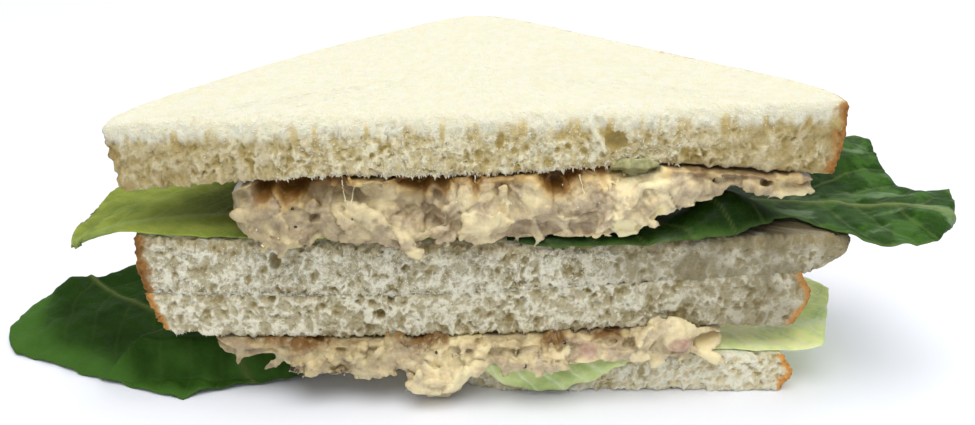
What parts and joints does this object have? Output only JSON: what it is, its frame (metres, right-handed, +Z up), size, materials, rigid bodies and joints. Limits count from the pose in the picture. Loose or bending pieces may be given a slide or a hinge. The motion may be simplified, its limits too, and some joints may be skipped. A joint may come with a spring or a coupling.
{
  "type": "tuna salad sandwich",
  "caption": "White bread sandwich cut corner to corner, its halves stacked, with tuna salad bulging out of the cut and lettuce reaching out at both sides.",
  "frame": {"origin": "on the flat underside of the lowest slice, near the middle of that slice, at the height of the surface that the sandwich stands on", "axes": "+Z up; +X along the knife cut, to the right as seen from in front of the cut; +Y from the cut towards the square corner of the bread"},
  "size_m": [0.2229, 0.0875, 0.0692],
  "materials": {
    "bread_base": "soft open crumb, matt",
    "lettuce_lower_dark": "wet leaf, glossy",
    "lettuce_lower_pale": "wet leaf, satin",
    "tuna_lower": "moist flakes, satin",
    "bread_lower_lid": "soft open crumb, matt",
    "bread_upper_base": "soft open crumb, matt",
    "lettuce_upper_pale": "wet leaf, satin",
    "lettuce_upper_dark": "wet leaf, glossy",
    "tuna_upper": "moist flakes, satin",
    "bread_upper_lid": "soft open crumb, matt"
  },
  "bodies": {
    "root": {"bread_base": "bread_base", "lettuce_lower_dark": "lettuce_lower_dark", "lettuce_lower_pale": "lettuce_lower_pale", "tuna_lower": "tuna_lower", "bread_lower_lid": "bread_lower_lid", "bread_upper_base": "bread_upper_base", "lettuce_upper_pale": "lettuce_upper_pale", "lettuce_upper_dark": "lettuce_upper_dark", "tuna_upper": "tuna_upper", "bread_upper_lid": "bread_upper_lid"}
  },
  "joints": []
}
